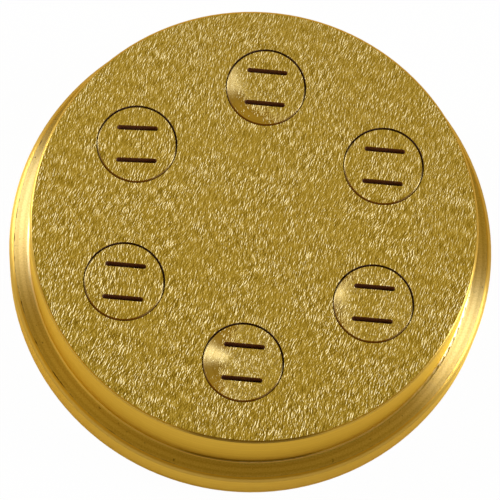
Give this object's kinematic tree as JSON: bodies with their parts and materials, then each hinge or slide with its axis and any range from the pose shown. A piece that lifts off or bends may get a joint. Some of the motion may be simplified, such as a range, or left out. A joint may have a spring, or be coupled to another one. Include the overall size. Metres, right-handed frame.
{
  "type": "pasta extrusion die",
  "caption": "Round brass pasta extrusion die: a flanged disc with slotted inserts set flush in its outlet face, through which dough is pressed into flat noodles.",
  "frame": {"origin": "centre of the flat back face, where the dough enters", "axes": "+Z along the die's axis towards the outlet face, X along the slots, Y through one of the inserts"},
  "size_m": [0.06, 0.06, 0.0162],
  "materials": {
    "disc_brass": "sanded outlet face, turned sides",
    "insert_brass": "sanded outlet face, partly bare turned"
  },
  "bodies": {
    "root": {"die_body": "disc_brass", "insert_1": "insert_brass", "insert_2": "insert_brass", "insert_3": "insert_brass", "insert_4": "insert_brass", "insert_5": "insert_brass", "insert_6": "insert_brass"}
  },
  "joints": []
}
